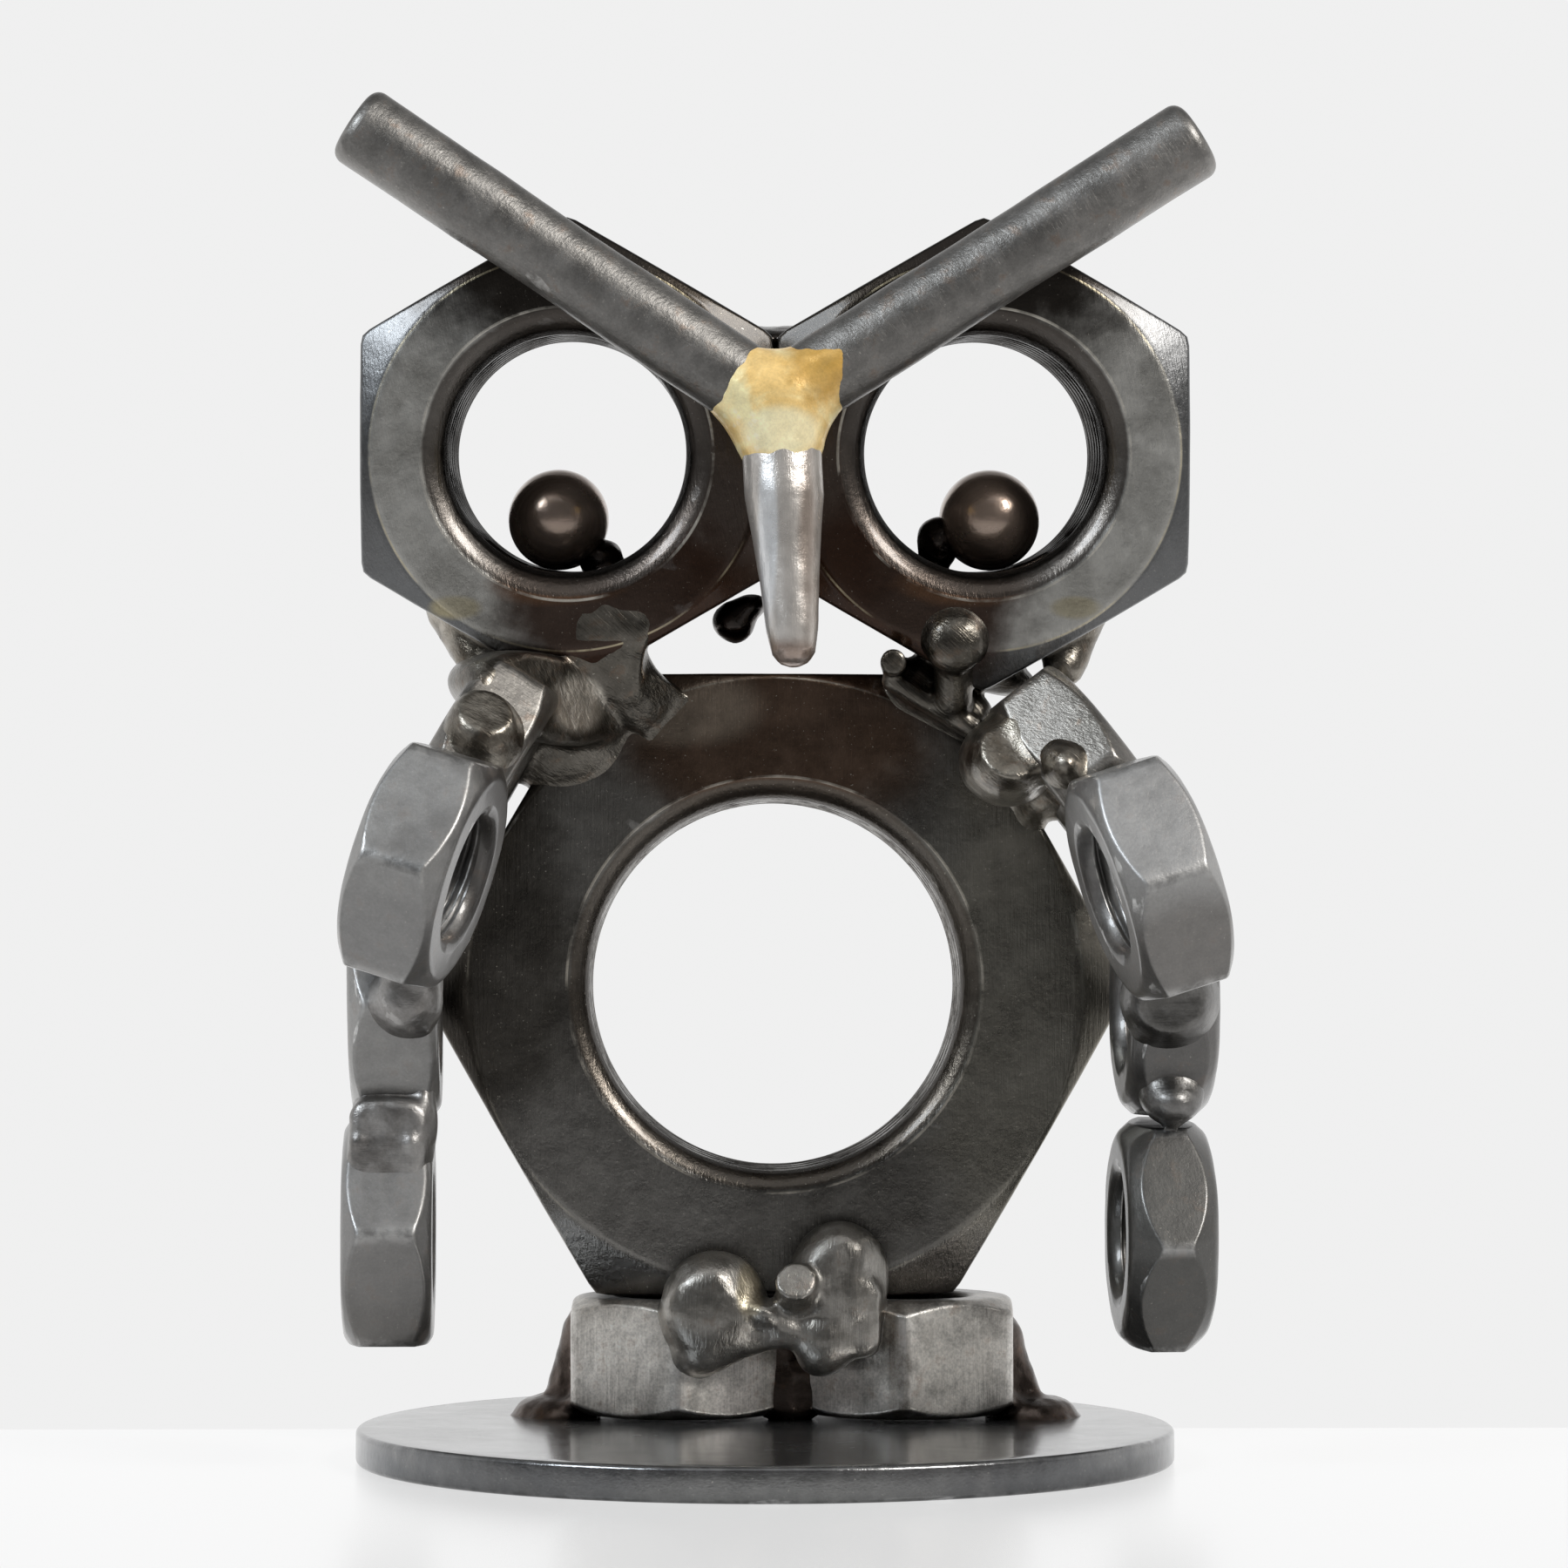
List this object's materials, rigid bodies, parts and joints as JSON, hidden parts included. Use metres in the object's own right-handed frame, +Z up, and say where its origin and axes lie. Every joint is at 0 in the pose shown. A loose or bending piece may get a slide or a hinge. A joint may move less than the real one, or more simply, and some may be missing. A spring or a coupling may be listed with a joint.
{
  "type": "scrap metal owl sculpture",
  "caption": "Small owl figure welded from steel hexagon nuts, round rod and balls, with a pointed brazed beak, standing on a round steel disc.",
  "frame": {"origin": "centre of the round disc's underside, which is what it stands on", "axes": "+Z up, the owl faces -Y, +X is the viewer's right"},
  "size_m": [0.0754, 0.072, 0.1181],
  "materials": {
    "steel_body": "dark lacquered steel with brown heat tint",
    "steel_foot": "lacquered steel with grinding marks",
    "steel_ball": "smooth dark steel",
    "steel_wing": "lacquered grey steel",
    "steel_rod": "lacquered grey steel with straw tint",
    "braze": "brazed joint, pale gold",
    "weld": "lacquered weld bead, partly ground"
  },
  "bodies": {
    "root": {"base_disc": "steel_body", "body_nut": "steel_body", "foot_nut_left": "steel_foot", "foot_nut_right": "steel_foot", "eye_nut_left": "steel_body", "eye_nut_right": "steel_body", "pupil_ball_left": "steel_ball", "pupil_ball_right": "steel_ball", "wing_nut_left_1": "steel_wing", "wing_nut_left_2": "steel_wing", "wing_nut_left_3": "steel_wing", "wing_nut_left_4": "steel_wing", "wing_nut_right_1": "steel_wing", "wing_nut_right_2": "steel_wing", "wing_nut_right_3": "steel_wing", "wing_nut_right_4": "steel_wing", "brow_rod_left": "steel_rod", "brow_rod_right": "steel_rod", "beak_rod": "steel_rod", "joint_braze": "braze", "weld_feet": "weld", "weld_base_left": "weld", "weld_base_right": "weld", "weld_neck_left": "weld", "weld_neck_right": "weld", "weld_shoulder_left": "weld", "weld_shoulder_right": "weld", "weld_back_left": "weld", "weld_back_right": "weld", "weld_crown": "weld", "weld_drip": "weld", "weld_pupil_left": "weld", "weld_pupil_right": "weld", "weld_wing_right_12": "weld", "weld_wing_left_23": "weld", "weld_wing_right_23": "weld", "weld_wing_left_34": "weld", "weld_wing_right_34": "weld"}
  },
  "joints": []
}
